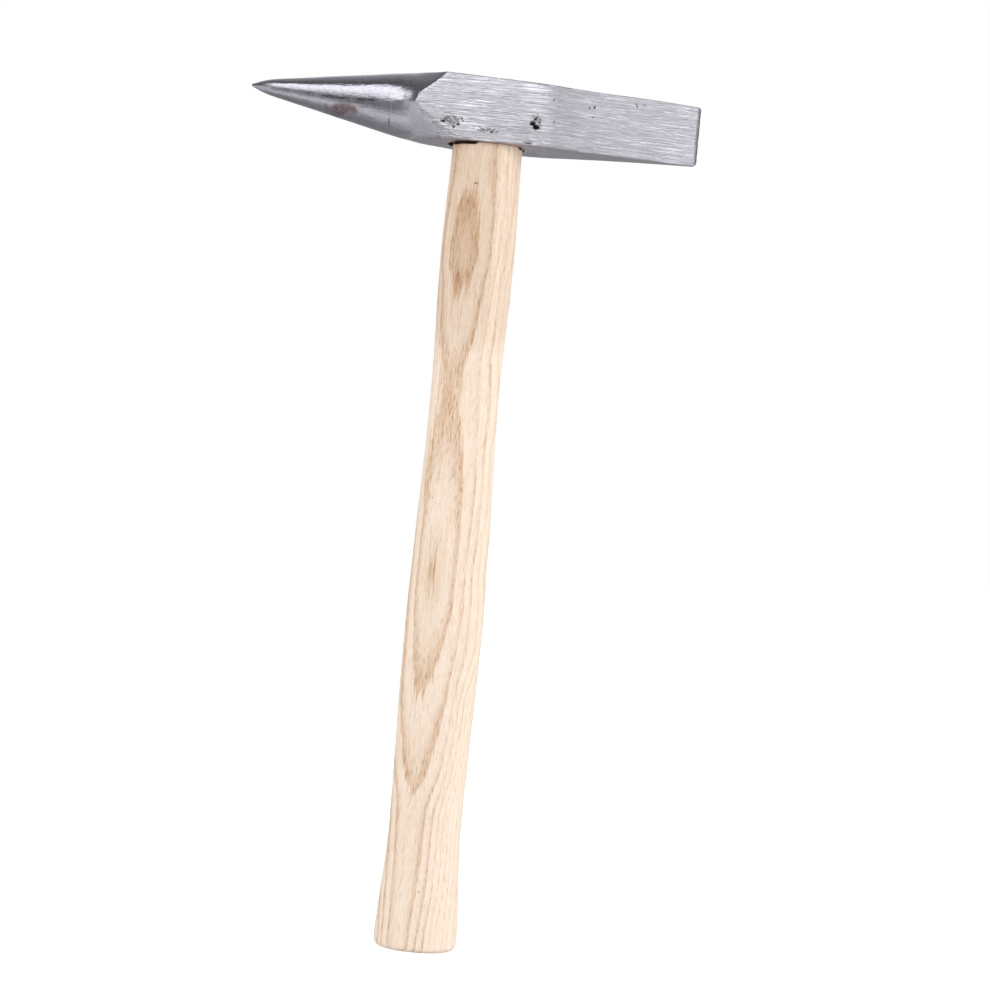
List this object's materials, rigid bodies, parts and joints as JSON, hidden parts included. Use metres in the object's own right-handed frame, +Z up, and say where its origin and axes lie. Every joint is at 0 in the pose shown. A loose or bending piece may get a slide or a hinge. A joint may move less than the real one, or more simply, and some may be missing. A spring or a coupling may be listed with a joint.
{
  "type": "chipping hammer",
  "caption": "Chipping hammer: forged steel head with a ground conical spike and an upright chisel, wedged on a straight oval ash handle.",
  "frame": {"origin": "centre of the flat butt of the handle, on the handle's axis", "axes": "+Z up the handle from the butt to the head, +X towards the chisel's edge with the spike towards -X, cheeks of the head facing +Y and -Y"},
  "size_m": [0.1555, 0.0242, 0.3004],
  "materials": {
    "forged_steel": "coarsely hand-ground and bright, darker and smoother on the spike",
    "ash": "sanded ash, almost unfinished",
    "wedge_wood": "sanded hardwood end",
    "wedge_steel": "dark raw steel"
  },
  "bodies": {
    "root": {"head": "forged_steel", "handle": "ash", "wood_wedge": "wedge_wood", "steel_wedge": "wedge_steel"}
  },
  "joints": []
}
